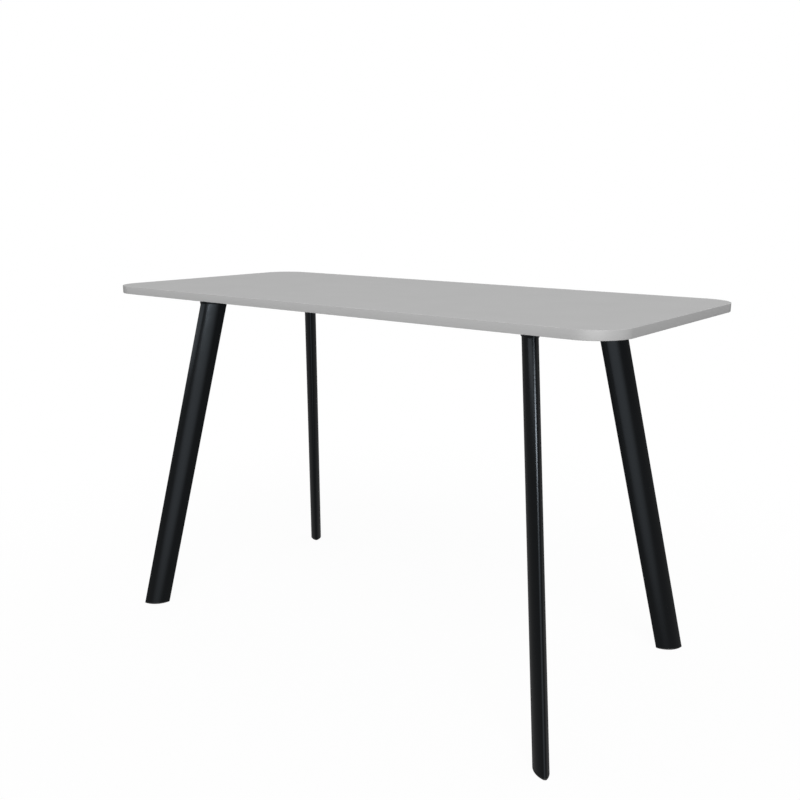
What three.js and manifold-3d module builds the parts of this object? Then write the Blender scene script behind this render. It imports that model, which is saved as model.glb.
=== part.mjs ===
// Standing meeting table: a laminated top on a steel underframe with four splayed legs of oval tube.
// Millimetres, +Z up. The origin is on the floor under the middle of the top, and X runs along the top.
import * as THREE from "three";
import { mergeVertices } from "three/addons/utils/BufferGeometryUtils.js";
import Module from "manifold-3d";

const wasm = await Module();
wasm.setup();

// Table top
const TABLE_HEIGHT = 1100;
const TOP_LENGTH = 1800;
const TOP_WIDTH = 800;
const TOP_CORNER_RADIUS = 100;
const CORE_THICKNESS = 22;
const LAMINATE_THICKNESS = 0.8;
const EDGE_BAND_THICKNESS = 3;
const EDGE_ARRIS_RADIUS = 1;
const EDGE_GLUE_LINE = 0.2;

// Legs: insets are from the edge of the top to the leg's centre line where it meets the underside,
// and the spread is how far the foot stands out beyond that point, along X and along Y alike
const LEG_INSET_END = 310;
const LEG_INSET_SIDE = 183;
const LEG_SPREAD = 184;
const LEG_TUBE_LONG = 82;
const LEG_TUBE_SHORT = 40;
const LEG_TUBE_END_RADIUS = 7;
const LEG_TUBE_WALL = 2;

// Leg flange: an oval plate round the head of the leg with a tongue that runs in under the cross rail
const FLANGE_THICKNESS = 5;
const FLANGE_MARGIN = 2;
const TONGUE_WIDTH = 40;
const TONGUE_REACH = 104;
const TONGUE_CORNER_RADIUS = 8;
const BOLT_NEAR_REACH = 50;
const BOLT_FAR_REACH = 86;

// Underframe
const RAIL_WIDTH = 50;
const RAIL_HEIGHT = 25;
const RAIL_WALL = 2;
const RAIL_CORNER_RADIUS = 3;
const CROSS_RAIL_OVERHANG = 28;
const LONG_RAIL_INBOARD = 122;
const RAIL_CAP_THICKNESS = 3;
const RAIL_CAP_PLUG_LENGTH = 12;
const RAIL_CAP_CLEARANCE = 0.3;

// Leg bolts, threaded into collars drawn up from the lower wall of the cross rail
const BOLT_RADIUS = 4;
const BOLT_LENGTH = 16;
const BOLT_HEAD_RADIUS = 7;
const BOLT_HEAD_HEIGHT = 4.4;
const BOLT_HEAD_CROWN = 2;
const BOLT_KEY_ACROSS = 5;
const BOLT_KEY_DEPTH = 2.6;
const BOLT_CLEARANCE = 0.3;
const COLLAR_WALL = 2.5;
const COLLAR_HEIGHT = 4;

// Screws that hold the top down on the rails
const SCREW_RADIUS = 2.5;
const SCREW_BITE = 15;
const SCREW_POINT = 4;
const SCREW_HEAD_RADIUS = 5;
const SCREW_HEAD_HEIGHT = 3;
const SCREW_HEAD_CHAMFER = 1;
const SCREW_KEY_ACROSS = 4;
const SCREW_KEY_DEPTH = 1.8;
const SCREW_CLEARANCE = 0.3;
const PILOT_EXTRA_DEPTH = 1;
const CROSS_SCREW_INBOARD = 50;
const LONG_SCREW_SPACING = 600;

// Foot cap and levelling glide
const FOOT_RIM_HEIGHT = 4;
const FOOT_PLUG_HEIGHT = 30;
const FOOT_PLUG_CLEARANCE = 0.3;
const PAD_RADIUS = 13;
const PAD_HEIGHT = 6;
const PAD_CHAMFER = 1;
const PAD_SETBACK = 0.5;
const PAD_FLOOR = 2.5;
const PAD_KEY_HOLE_RADIUS = 3.4;
const PAD_CLEARANCE = 0.8;
const PAD_HEADROOM = 0.3;
const STUD_RADIUS = 4;
const STUD_LENGTH = 40;
const STUD_CHAMFER = 0.8;
const STUD_CLEARANCE = 0.3;
const STUD_KEY_ACROSS = 4;
const STUD_KEY_DEPTH = 5;
const BUSH_WALL = 3;
const BUSH_LENGTH = 20;
const BUSH_LEDGE = 4;
const BUSH_CLEARANCE = 0.3;

// Facets of the round shapes, and how far a cutting tool runs past the face that it opens
const CORNER_FACETS = 5;
const OVAL_FACETS = 4;
const ARRIS_FACETS = 3;
const RAIL_FACETS = 1;
const ROUND_FACETS = 16;
const SMALL_ROUND_FACETS = 8;
const CUT_PAST = 1;

// Levels and places that follow from the sizes above
const TOP_THICKNESS = CORE_THICKNESS + 2 * LAMINATE_THICKNESS;
const UNDERSIDE_Z = TABLE_HEIGHT - TOP_THICKNESS;
const CORE_Z = UNDERSIDE_Z + LAMINATE_THICKNESS;
const RAIL_BOTTOM_Z = UNDERSIDE_Z - RAIL_HEIGHT;
const RAIL_AXIS_Z = UNDERSIDE_Z - RAIL_HEIGHT / 2;
const LEG_TOP_Z = RAIL_BOTTOM_Z - FLANGE_THICKNESS;
const FOOT_X = TOP_LENGTH / 2 - LEG_INSET_END + LEG_SPREAD;
const FOOT_Y = TOP_WIDTH / 2 - LEG_INSET_SIDE + LEG_SPREAD;
const LEG_DRIFT = (LEG_SPREAD * LEG_TOP_Z) / UNDERSIDE_Z;
const LEG_HEAD_X = FOOT_X - LEG_DRIFT;
const LEG_HEAD_Y = FOOT_Y - LEG_DRIFT;
const LEG_SLOPE = (LEG_SPREAD * Math.SQRT2) / UNDERSIDE_Z;
const LEG_HEAD_SHIFT = -LEG_SLOPE * LEG_TOP_Z;
const LEVEL_STRETCH = Math.hypot(1, LEG_SLOPE);
const RAIL_INNER_RADIUS = Math.max(RAIL_CORNER_RADIUS - RAIL_WALL, 0);
const CROSS_RAIL_END_Y = LEG_HEAD_Y + CROSS_RAIL_OVERHANG - RAIL_CAP_THICKNESS;
const LONG_RAIL_Y = LEG_HEAD_Y - LONG_RAIL_INBOARD;
const LONG_RAIL_END_X = LEG_HEAD_X - RAIL_WIDTH / 2;
const CROSS_SCREW_Y = LONG_RAIL_Y - CROSS_SCREW_INBOARD;
const LONG_SCREW_X = LONG_SCREW_SPACING / 2;
const SCREW_HOLE_RADIUS = SCREW_RADIUS + SCREW_CLEARANCE;
const BOLT_HOLE_RADIUS = BOLT_RADIUS + BOLT_CLEARANCE;
const PAD_TOP_Z = PAD_SETBACK + PAD_HEIGHT;
const PAD_RECESS_Z = PAD_TOP_Z + PAD_HEADROOM;
const STUD_BOTTOM_Z = PAD_SETBACK + PAD_FLOOR;
const STUD_HOLE_RADIUS = STUD_RADIUS + STUD_CLEARANCE;
const BUSH_Z = PAD_RECESS_Z + BUSH_LEDGE;
const BUSH_RADIUS = STUD_HOLE_RADIUS + BUSH_WALL;
const FOOT_PLUG_TOP_Z = FOOT_RIM_HEIGHT + FOOT_PLUG_HEIGHT;

// Finishes
function finish(color, roughness, metalness) {
  return new THREE.MeshStandardMaterial({ color, roughness, metalness });
}

const GREY_LAMINATE = finish(0xb4b4b4, 0.55, 0);
const GREY_EDGING = finish(0xadadad, 0.5, 0);
const CHIPBOARD = finish(0xb58e5e, 0.9, 0);
const BLACK_STEEL = finish(0x1e1f20, 0.45, 0.2);
const BLACK_NYLON = finish(0x141414, 0.6, 0);
const ZINC_STEEL = finish(0xa8aaac, 0.35, 1);

const table = new THREE.Group();

function place(parent, name, geometry, material, x = 0, y = 0, z = 0) {
  const mesh = new THREE.Mesh(geometry, material);
  mesh.name = name;
  mesh.position.set(x, y, z);
  parent.add(mesh);
}

// Joining and cutting of closed shapes
function solidOf(geometry) {
  const bare = geometry.clone();
  bare.deleteAttribute("normal");
  bare.deleteAttribute("uv");
  const merged = mergeVertices(bare);
  const vertProperties = merged.attributes.position.array;
  const triVerts = Uint32Array.from(merged.index.array);
  return new wasm.Manifold(new wasm.Mesh({ numProp: 3, vertProperties, triVerts }));
}

function shapeOf(solid) {
  const mesh = solid.getMesh();
  const geometry = new THREE.BufferGeometry();
  geometry.setAttribute("position", new THREE.BufferAttribute(mesh.vertProperties, 3));
  geometry.setIndex(new THREE.BufferAttribute(mesh.triVerts, 1));
  geometry.computeVertexNormals();
  return geometry;
}

function join(...geometries) {
  return shapeOf(geometries.map(solidOf).reduce((whole, piece) => whole.add(piece)));
}

function cut(geometry, ...tools) {
  return shapeOf(tools.map(solidOf).reduce((rest, tool) => rest.subtract(tool), solidOf(geometry)));
}

// Outlines
function roundedRectangle(length, width, radius) {
  const x = length / 2 - radius;
  const y = width / 2 - radius;
  const outline = new THREE.Shape();
  outline.absarc(x, -y, radius, -Math.PI / 2, 0);
  outline.absarc(x, y, radius, 0, Math.PI / 2);
  outline.absarc(-x, y, radius, Math.PI / 2, Math.PI);
  outline.absarc(-x, -y, radius, Math.PI, 1.5 * Math.PI);
  return outline;
}

// Two long side arcs that run smoothly into two small end arcs
function oval(long, short, endRadius) {
  const endX = long / 2 - endRadius;
  const slack = short / 2 - endRadius;
  const sideRadius = endRadius + (endX * endX + slack * slack) / (2 * slack);
  const sideY = sideRadius - short / 2;
  const blend = Math.atan2(sideY, endX);
  const outline = new THREE.Shape();
  outline.absarc(endX, 0, endRadius, -blend, blend);
  outline.absarc(0, -sideY, sideRadius, blend, Math.PI - blend);
  outline.absarc(-endX, 0, endRadius, Math.PI - blend, Math.PI + blend);
  outline.absarc(0, sideY, sideRadius, Math.PI + blend, 2 * Math.PI - blend);
  return outline;
}

// Plain solids
function plate(outline, fromZ, toZ, curveSegments) {
  const settings = { depth: toZ - fromZ, bevelEnabled: false, curveSegments };
  const geometry = new THREE.ExtrudeGeometry(outline, settings);
  geometry.translate(0, 0, fromZ);
  return geometry;
}

function rod(radius, fromZ, toZ, x = 0, y = 0, facets = ROUND_FACETS) {
  const geometry = new THREE.CylinderGeometry(radius, radius, toZ - fromZ, facets);
  geometry.rotateX(Math.PI / 2);
  geometry.translate(x, y, (fromZ + toZ) / 2);
  return geometry;
}

function hexKeyway(across, fromZ, toZ) {
  return rod(across / Math.sqrt(3), fromZ, toZ, 0, 0, 6);
}

function turned(profile, facets) {
  const points = profile.map(([radius, z]) => new THREE.Vector2(radius, z));
  const geometry = new THREE.LatheGeometry(points, facets);
  geometry.rotateX(Math.PI / 2);
  return geometry;
}

// Table top: core between two laminates, with a band glued round the edge
function boardOutline(inset) {
  return roundedRectangle(TOP_LENGTH - 2 * inset, TOP_WIDTH - 2 * inset, TOP_CORNER_RADIUS - inset);
}

function edgeBand() {
  const slab = new THREE.ExtrudeGeometry(boardOutline(0), {
    depth: TOP_THICKNESS - 2 * EDGE_ARRIS_RADIUS,
    bevelThickness: EDGE_ARRIS_RADIUS,
    bevelSize: EDGE_ARRIS_RADIUS,
    bevelOffset: -EDGE_ARRIS_RADIUS,
    bevelSegments: ARRIS_FACETS,
    curveSegments: CORNER_FACETS,
  });
  slab.translate(0, 0, EDGE_ARRIS_RADIUS);
  const boardHole = boardOutline(EDGE_BAND_THICKNESS);
  const inside = plate(boardHole, -CUT_PAST, TOP_THICKNESS + CUT_PAST, CORNER_FACETS);
  return cut(slab, inside);
}

const screwPlaces = [];
for (const [side, sign] of [["left", -1], ["right", 1]]) {
  screwPlaces.push([`cross_screw_${side}_front`, sign * LEG_HEAD_X, -CROSS_SCREW_Y]);
  screwPlaces.push([`cross_screw_${side}_rear`, sign * LEG_HEAD_X, CROSS_SCREW_Y]);
  screwPlaces.push([`long_screw_front_${side}`, sign * LONG_SCREW_X, -LONG_RAIL_Y]);
  screwPlaces.push([`long_screw_rear_${side}`, sign * LONG_SCREW_X, LONG_RAIL_Y]);
}

function screwHoles(fromZ, toZ) {
  return screwPlaces.map(([, x, y]) => rod(SCREW_HOLE_RADIUS, fromZ, toZ, x, y, SMALL_ROUND_FACETS));
}

const board = boardOutline(EDGE_BAND_THICKNESS + EDGE_GLUE_LINE);
const pilotDepth = SCREW_BITE + PILOT_EXTRA_DEPTH - LAMINATE_THICKNESS;
const core = cut(plate(board, 0, CORE_THICKNESS, CORNER_FACETS), ...screwHoles(-CUT_PAST, pilotDepth));
const laminate = plate(board, 0, LAMINATE_THICKNESS, CORNER_FACETS);
const backing = cut(laminate, ...screwHoles(-CUT_PAST, LAMINATE_THICKNESS + CUT_PAST));
place(table, "edge_band", edgeBand(), GREY_EDGING, 0, 0, UNDERSIDE_Z);
place(table, "backing_laminate", backing, GREY_LAMINATE, 0, 0, UNDERSIDE_Z);
place(table, "top_core", core, CHIPBOARD, 0, 0, CORE_Z);
place(table, "top_laminate", laminate, GREY_LAMINATE, 0, 0, CORE_Z + CORE_THICKNESS);

// Screws, head down under the rail
function topScrew() {
  const length = RAIL_HEIGHT + SCREW_BITE;
  const body = turned(
    [
      [0, -SCREW_HEAD_HEIGHT],
      [SCREW_HEAD_RADIUS - SCREW_HEAD_CHAMFER, -SCREW_HEAD_HEIGHT],
      [SCREW_HEAD_RADIUS, SCREW_HEAD_CHAMFER - SCREW_HEAD_HEIGHT],
      [SCREW_HEAD_RADIUS, 0],
      [SCREW_RADIUS, 0],
      [SCREW_RADIUS, length - SCREW_POINT],
      [0, length],
    ],
    SMALL_ROUND_FACETS,
  );
  const keywayEnd = SCREW_KEY_DEPTH - SCREW_HEAD_HEIGHT;
  return cut(body, hexKeyway(SCREW_KEY_ACROSS, -SCREW_HEAD_HEIGHT - CUT_PAST, keywayEnd));
}

for (const [name, x, y] of screwPlaces) {
  place(table, name, topScrew(), ZINC_STEEL, x, y, RAIL_BOTTOM_Z);
}

// Rails: rectangular tube along Y, about the middle of its length
function railTube(halfLength) {
  const section = roundedRectangle(RAIL_WIDTH, RAIL_HEIGHT, RAIL_CORNER_RADIUS);
  const bore = 2 * RAIL_WALL;
  section.holes.push(roundedRectangle(RAIL_WIDTH - bore, RAIL_HEIGHT - bore, RAIL_INNER_RADIUS));
  const tube = plate(section, -halfLength, halfLength, RAIL_FACETS);
  tube.rotateX(Math.PI / 2);
  return tube;
}

const boltReaches = [["near", BOLT_NEAR_REACH], ["far", BOLT_FAR_REACH]];
const boltRows = boltReaches.flatMap(([, reach]) => [LEG_HEAD_Y - reach, reach - LEG_HEAD_Y]);
const railFloor = RAIL_WALL - RAIL_HEIGHT / 2;
const belowRail = -RAIL_HEIGHT / 2 - CUT_PAST;
const aboveRail = RAIL_HEIGHT / 2 + CUT_PAST;

function crossRail() {
  const collarTop = railFloor + COLLAR_HEIGHT;
  const collarRadius = BOLT_HOLE_RADIUS + COLLAR_WALL;
  const collars = boltRows.map((y) => rod(collarRadius, railFloor - RAIL_WALL / 2, collarTop, 0, y));
  const threads = boltRows.map((y) => rod(BOLT_HOLE_RADIUS, belowRail, collarTop + CUT_PAST, 0, y));
  const screws = [-CROSS_SCREW_Y, CROSS_SCREW_Y].map((y) =>
    rod(SCREW_HOLE_RADIUS, belowRail, aboveRail, 0, y, SMALL_ROUND_FACETS),
  );
  return cut(join(railTube(CROSS_RAIL_END_Y), ...collars), ...threads, ...screws);
}

function longRail() {
  const tube = railTube(LONG_RAIL_END_X);
  tube.rotateZ(Math.PI / 2);
  const screws = [-LONG_SCREW_X, LONG_SCREW_X].map((x) =>
    rod(SCREW_HOLE_RADIUS, belowRail, aboveRail, x, 0, SMALL_ROUND_FACETS),
  );
  return cut(tube, ...screws);
}

// End cap of a cross rail, facing +Y, with its plug inside the tube
function railCap() {
  const faceOutline = roundedRectangle(RAIL_WIDTH, RAIL_HEIGHT, RAIL_CORNER_RADIUS);
  const face = plate(faceOutline, 0, RAIL_CAP_THICKNESS, RAIL_FACETS);
  const spare = 2 * (RAIL_WALL + RAIL_CAP_CLEARANCE);
  const plugOutline = roundedRectangle(RAIL_WIDTH - spare, RAIL_HEIGHT - spare, RAIL_INNER_RADIUS);
  const plug = plate(plugOutline, -RAIL_CAP_PLUG_LENGTH, RAIL_CAP_THICKNESS / 2, RAIL_FACETS);
  const cap = join(face, plug);
  cap.rotateX(-Math.PI / 2);
  return cap;
}

for (const [side, sign] of [["left", -1], ["right", 1]]) {
  place(table, `cross_rail_${side}`, crossRail(), BLACK_STEEL, sign * LEG_HEAD_X, 0, RAIL_AXIS_Z);
}
for (const [side, sign] of [["front", -1], ["rear", 1]]) {
  place(table, `long_rail_${side}`, longRail(), BLACK_STEEL, 0, sign * LONG_RAIL_Y, RAIL_AXIS_Z);
}

// Legs. In a leg's own group X points outwards along the splay,
// and the origin is on the floor under the glide.
function legLength(outline, fromZ, toZ) {
  const geometry = plate(outline, fromZ, toZ, OVAL_FACETS);
  geometry.scale(LEVEL_STRETCH, 1, 1);
  geometry.applyMatrix4(new THREE.Matrix4().makeShear(0, 0, 0, 0, -LEG_SLOPE, 0));
  return geometry;
}

function legOutline(inset) {
  const endRadius = Math.max(LEG_TUBE_END_RADIUS - inset, 0);
  return oval(LEG_TUBE_LONG - 2 * inset, LEG_TUBE_SHORT - 2 * inset, endRadius);
}

function legTube() {
  const outline = legOutline(0);
  outline.holes.push(legOutline(LEG_TUBE_WALL));
  return legLength(outline, FOOT_RIM_HEIGHT, LEG_TOP_Z);
}

// The tongue is turned from the leg's own X to the inward direction of the cross rail
function legFlange(tongueTurn) {
  const long = LEG_TUBE_LONG * LEVEL_STRETCH + 2 * FLANGE_MARGIN;
  const short = LEG_TUBE_SHORT + 2 * FLANGE_MARGIN;
  const headOutline = oval(long, short, LEG_TUBE_END_RADIUS + FLANGE_MARGIN);
  const head = plate(headOutline, 0, FLANGE_THICKNESS, OVAL_FACETS);
  const tongueOutline = roundedRectangle(2 * TONGUE_REACH, TONGUE_WIDTH, TONGUE_CORNER_RADIUS);
  const tongue = plate(tongueOutline, 0, FLANGE_THICKNESS, OVAL_FACETS);
  const behindHeight = 2 * (FLANGE_THICKNESS + CUT_PAST);
  const behind = new THREE.BoxGeometry(2 * TONGUE_REACH, 2 * TONGUE_WIDTH, behindHeight);
  behind.translate(-TONGUE_REACH, 0, 0);
  const holes = boltReaches.map(([, reach]) =>
    rod(BOLT_HOLE_RADIUS, -CUT_PAST, FLANGE_THICKNESS + CUT_PAST, reach, 0),
  );
  const arm = cut(tongue, behind, ...holes);
  arm.rotateZ(tongueTurn);
  return join(head, arm);
}

function legBolt() {
  const body = turned(
    [
      [0, -BOLT_HEAD_HEIGHT],
      [BOLT_HEAD_RADIUS - BOLT_HEAD_CROWN, -BOLT_HEAD_HEIGHT],
      [BOLT_HEAD_RADIUS, BOLT_HEAD_CROWN - BOLT_HEAD_HEIGHT],
      [BOLT_HEAD_RADIUS, 0],
      [BOLT_RADIUS, 0],
      [BOLT_RADIUS, BOLT_LENGTH],
      [0, BOLT_LENGTH],
    ],
    ROUND_FACETS,
  );
  const keywayEnd = BOLT_KEY_DEPTH - BOLT_HEAD_HEIGHT;
  return cut(body, hexKeyway(BOLT_KEY_ACROSS, -BOLT_HEAD_HEIGHT - CUT_PAST, keywayEnd));
}

function footCap() {
  const rim = legLength(legOutline(0), 0, FOOT_RIM_HEIGHT);
  const plugOutline = legOutline(LEG_TUBE_WALL + FOOT_PLUG_CLEARANCE);
  const plug = legLength(plugOutline, FOOT_RIM_HEIGHT / 2, FOOT_PLUG_TOP_Z);
  return cut(
    join(rim, plug),
    rod(PAD_RADIUS + PAD_CLEARANCE, -CUT_PAST, PAD_RECESS_Z),
    rod(STUD_HOLE_RADIUS, PAD_RECESS_Z - CUT_PAST, BUSH_Z + CUT_PAST),
    rod(BUSH_RADIUS + BUSH_CLEARANCE, BUSH_Z, FOOT_PLUG_TOP_Z + CUT_PAST),
  );
}

function glideBush() {
  return turned(
    [
      [STUD_HOLE_RADIUS, BUSH_Z],
      [BUSH_RADIUS, BUSH_Z],
      [BUSH_RADIUS, BUSH_Z + BUSH_LENGTH],
      [STUD_HOLE_RADIUS, BUSH_Z + BUSH_LENGTH],
      [STUD_HOLE_RADIUS, BUSH_Z],
    ],
    ROUND_FACETS,
  );
}

function glideStud() {
  const topZ = STUD_BOTTOM_Z + STUD_LENGTH;
  const body = turned(
    [
      [0, STUD_BOTTOM_Z],
      [STUD_RADIUS, STUD_BOTTOM_Z],
      [STUD_RADIUS, topZ - STUD_CHAMFER],
      [STUD_RADIUS - STUD_CHAMFER, topZ],
      [0, topZ],
    ],
    ROUND_FACETS,
  );
  return cut(body, hexKeyway(STUD_KEY_ACROSS, STUD_BOTTOM_Z - CUT_PAST, STUD_BOTTOM_Z + STUD_KEY_DEPTH));
}

function glidePad() {
  return turned(
    [
      [PAD_KEY_HOLE_RADIUS, PAD_SETBACK],
      [PAD_RADIUS - PAD_CHAMFER, PAD_SETBACK],
      [PAD_RADIUS, PAD_SETBACK + PAD_CHAMFER],
      [PAD_RADIUS, PAD_TOP_Z],
      [STUD_HOLE_RADIUS, PAD_TOP_Z],
      [STUD_HOLE_RADIUS, STUD_BOTTOM_Z],
      [PAD_KEY_HOLE_RADIUS, STUD_BOTTOM_Z],
      [PAD_KEY_HOLE_RADIUS, PAD_SETBACK],
    ],
    ROUND_FACETS,
  );
}

const corners = [
  ["front_left", -1, -1],
  ["front_right", 1, -1],
  ["rear_left", -1, 1],
  ["rear_right", 1, 1],
];
for (const [corner, xSign, ySign] of corners) {
  const splayAngle = Math.atan2(ySign, xSign);
  const tongueTurn = (-ySign * Math.PI) / 2 - splayAngle;
  const leg = new THREE.Group();
  leg.position.set(xSign * FOOT_X, ySign * FOOT_Y, 0);
  leg.rotation.z = splayAngle;
  table.add(leg);
  place(leg, `leg_tube_${corner}`, legTube(), BLACK_STEEL);
  place(leg, `leg_flange_${corner}`, legFlange(tongueTurn), BLACK_STEEL, LEG_HEAD_SHIFT, 0, LEG_TOP_Z);
  place(leg, `foot_cap_${corner}`, footCap(), BLACK_NYLON);
  place(leg, `glide_bush_${corner}`, glideBush(), ZINC_STEEL);
  place(leg, `glide_stud_${corner}`, glideStud(), ZINC_STEEL);
  place(leg, `glide_pad_${corner}`, glidePad(), BLACK_NYLON);
  for (const [row, reach] of boltReaches) {
    const boltY = ySign * (LEG_HEAD_Y - reach);
    place(table, `leg_bolt_${row}_${corner}`, legBolt(), ZINC_STEEL, xSign * LEG_HEAD_X, boltY, LEG_TOP_Z);
  }
  const endCap = new THREE.Group();
  endCap.position.set(xSign * LEG_HEAD_X, ySign * CROSS_RAIL_END_Y, RAIL_AXIS_Z);
  endCap.rotation.z = ySign > 0 ? 0 : Math.PI;
  table.add(endCap);
  place(endCap, `rail_cap_${corner}`, railCap(), BLACK_NYLON);
}

export default table;
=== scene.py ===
# %% [markdown]
# # A standing meeting table
# The table has a grey laminated top, 1.8 m long, on four splayed legs of black oval tube.
# A CAD model gives every piece its real size and place, and it is loaded here as a fixed frame.
# Each piece that shows is then modelled again around that frame, with the round edges, welds and
# threads of the real one, and gets the finish that the real one has.

# %% Load the frame
import math

import bmesh
import bpy
from mathutils import Matrix, Vector


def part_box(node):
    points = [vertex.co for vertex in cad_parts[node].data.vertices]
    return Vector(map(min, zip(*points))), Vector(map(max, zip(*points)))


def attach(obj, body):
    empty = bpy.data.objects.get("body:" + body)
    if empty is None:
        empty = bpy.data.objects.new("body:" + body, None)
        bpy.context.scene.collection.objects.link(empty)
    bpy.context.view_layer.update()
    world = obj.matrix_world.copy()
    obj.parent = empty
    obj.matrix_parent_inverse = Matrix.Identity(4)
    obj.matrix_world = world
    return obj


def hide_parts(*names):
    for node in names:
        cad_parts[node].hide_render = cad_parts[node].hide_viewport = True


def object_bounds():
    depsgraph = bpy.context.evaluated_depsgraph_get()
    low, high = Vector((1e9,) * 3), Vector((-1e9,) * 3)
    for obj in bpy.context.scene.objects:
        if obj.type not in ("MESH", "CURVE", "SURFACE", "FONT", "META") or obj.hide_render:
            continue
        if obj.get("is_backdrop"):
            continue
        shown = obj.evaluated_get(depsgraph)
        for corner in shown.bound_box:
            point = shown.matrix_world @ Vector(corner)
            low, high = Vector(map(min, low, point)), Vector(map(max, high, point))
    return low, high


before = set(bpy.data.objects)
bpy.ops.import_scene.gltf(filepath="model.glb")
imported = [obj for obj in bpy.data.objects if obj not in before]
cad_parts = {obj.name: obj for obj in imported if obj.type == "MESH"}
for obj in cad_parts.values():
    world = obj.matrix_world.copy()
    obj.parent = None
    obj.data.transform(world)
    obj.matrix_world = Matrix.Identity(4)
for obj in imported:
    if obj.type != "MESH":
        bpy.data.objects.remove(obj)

MM = 0.001
scene = bpy.context.scene
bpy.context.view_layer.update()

# %% [markdown]
# ## Camera
# The camera comes first, because every piece is judged through it. The photograph was taken from
# about eye height, to the right of the near long side. It was cropped after it was taken, so its
# lens axis is off the middle of the frame, and the lens is shifted by as many pixels.

# %% Camera
CAMERA_PLACE = (1.7024, -2.1077, 1.3624)
CAMERA_TURN = math.radians(38.255)
CAMERA_DIP = math.radians(14.617)
SENSOR_MM = 36.0
IMAGE_PIXELS = 800
FOCAL_PIXELS = 884.7
AXIS_PIXEL_X = 408.9
AXIS_PIXEL_Y = 433.6

lens = bpy.data.cameras.new("photo_camera")
lens.sensor_width = SENSOR_MM
lens.lens = FOCAL_PIXELS / IMAGE_PIXELS * SENSOR_MM
lens.shift_x = 0.5 - AXIS_PIXEL_X / IMAGE_PIXELS
lens.shift_y = AXIS_PIXEL_Y / IMAGE_PIXELS - 0.5
camera = bpy.data.objects.new("photo_camera", lens)
camera.location = CAMERA_PLACE
camera.rotation_euler = (math.pi / 2 - CAMERA_DIP, 0.0, CAMERA_TURN)
scene.collection.objects.link(camera)
scene.camera = camera
print(f"camera with a {lens.lens:.1f} mm lens")

# %% [markdown]
# ## Helpers for materials
# Paint is mixed in sRGB, the numbers that a colour picker shows, but light adds up in linear
# numbers, so one function turns a hex colour into linear. Another adds a node with its settings and
# links, which keeps each finish down to the few lines that describe it. Patterns are sized in
# millimetres, and a texture's Scale is how many of them fit in a metre.


# %% Colours and nodes
def linear(hex_colour):
    shares = [int(hex_colour[i : i + 2], 16) / 255 for i in (1, 3, 5)]
    return [s / 12.92 if s <= 0.04045 else ((s + 0.055) / 1.055) ** 2.4 for s in shares] + [1.0]


def add_node(tree, kind, settings, links):
    made = tree.nodes.new("ShaderNode" + kind)
    for name, value in settings.items():
        if isinstance(name, str) and hasattr(made, name):
            setattr(made, name, value)
        else:
            made.inputs[name].default_value = value
    for socket, source in links.items():
        tree.links.new(source, made.inputs[socket])
    return made


def new_finish(name, settings):
    material = bpy.data.materials.new(name)
    material.use_nodes = True
    shader = material.node_tree.nodes["Principled BSDF"]
    for socket, value in settings.items():
        shader.inputs[socket].default_value = value
    return material, material.node_tree, shader


def tint(ramp, dark, pale):
    ramp.color_ramp.elements[0].color = linear(dark)
    ramp.color_ramp.elements[1].color = linear(pale)


def per_metre(size_mm):
    return 1 / (size_mm * MM)


print("mid grey #808080 in linear numbers:", round(linear("#808080")[0], 3))

# %% [markdown]
# ## Studio light
# The photograph is a cut-out on white, and what its black legs mirror tells how it was lit. The room
# is dim, paler towards the ceiling, and its floor shines a little in front of the table. The world
# draws those two: one gradient goes by height, and the other fades with the angle from one direction.
# Where the camera looks straight at it, the world is plain white instead.

# %% World
AMBIENT = 0.15
CEILING = 0.65
CEILING_FROM = math.sin(math.radians(30))
SHINE = 0.62
SHINE_EDGE = math.cos(math.radians(42))


def way_to(azimuth, elevation):
    turn, lift = math.radians(azimuth), math.radians(elevation)
    return Vector((math.sin(turn) * math.cos(lift), -math.cos(turn) * math.cos(lift), math.sin(lift)))


shine_way = way_to(azimuth=36, elevation=-18)
scene.view_settings.view_transform = "Standard"
world = bpy.data.worlds.new("studio")
world.use_nodes = True
scene.world = world
tree = world.node_tree
way = add_node(tree, "TexCoord", {}, {}).outputs["Generated"]
height = add_node(tree, "SeparateXYZ", {}, {0: way}).outputs["Z"]
soft = {"interpolation_type": "SMOOTHSTEP"}
rise = soft | {"From Max": CEILING_FROM, "To Min": AMBIENT, "To Max": CEILING}
room = add_node(tree, "MapRange", rise, {"Value": height}).outputs["Result"]
near = add_node(tree, "VectorMath", {"operation": "DOT_PRODUCT", 1: shine_way}, {0: way}).outputs["Value"]
fade = soft | {"From Min": SHINE_EDGE, "To Max": SHINE}
shine = add_node(tree, "MapRange", fade, {"Value": near}).outputs["Result"]
both = add_node(tree, "Math", {"operation": "ADD"}, {0: room, 1: shine}).outputs["Value"]
seen = add_node(tree, "LightPath", {}, {}).outputs["Is Camera Ray"]
level = add_node(tree, "Mix", {3: 1.0}, {0: seen, 2: both})
backdrop = tree.nodes["Background"]
backdrop.inputs["Color"].default_value = linear("#ffffff")
tree.links.new(level.outputs[0], backdrop.inputs["Strength"])
print("floor shines from", tuple(round(part, 2) for part in shine_way))

# %% [markdown]
# Four lamps do the rest. A long strip, low behind the camera, draws the line of light down the
# nearest leg and the streak at the head of the left one. Dimmer strips on the left and at the back
# give the legs their rims, and a square softbox above them lights the top. The two strongest are
# far off, so that both ends of the table get about the same light. A lamp is set by how bright its
# face looks, because that is what a leg mirrors, and its watts follow from the size of the face.

# %% Lamps
LAMP_AIM = Vector((0.0, 0.0, 0.7))


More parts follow.
